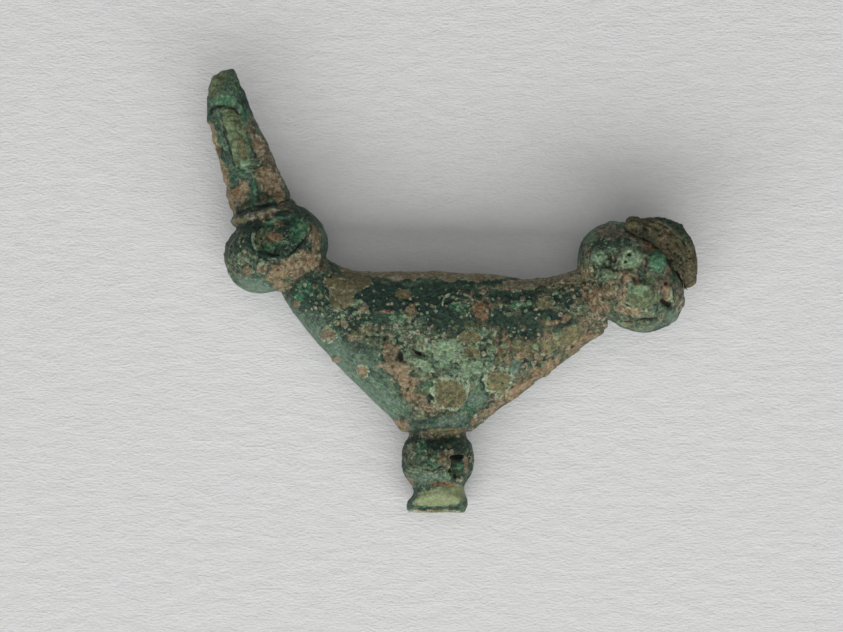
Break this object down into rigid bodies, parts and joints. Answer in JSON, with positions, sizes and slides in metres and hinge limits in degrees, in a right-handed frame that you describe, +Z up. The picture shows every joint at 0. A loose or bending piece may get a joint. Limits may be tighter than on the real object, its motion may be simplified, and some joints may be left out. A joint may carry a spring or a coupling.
{
  "type": "fibula brooch",
  "caption": "Corroded cast bow brooch lying on its side: swollen triangular bow, a round knob at each corner, ridged foot, spring stump.",
  "frame": {"origin": "on the table, under the middle of the lying brooch's outline", "axes": "+X from the foot knob to the head knob, +Y from the apex stud to the pin side, +Z up from the table through the brooch's upper flank"},
  "size_m": [0.0562, 0.051, 0.0145],
  "materials": {
    "green_patina": "rough green, teal and brown corrosion on cast bronze",
    "brown_crust": "rough ochre and brown corrosion on bronze"
  },
  "bodies": {
    "root": {"bow_casting": "green_patina", "spring_stump": "brown_crust"}
  },
  "joints": []
}
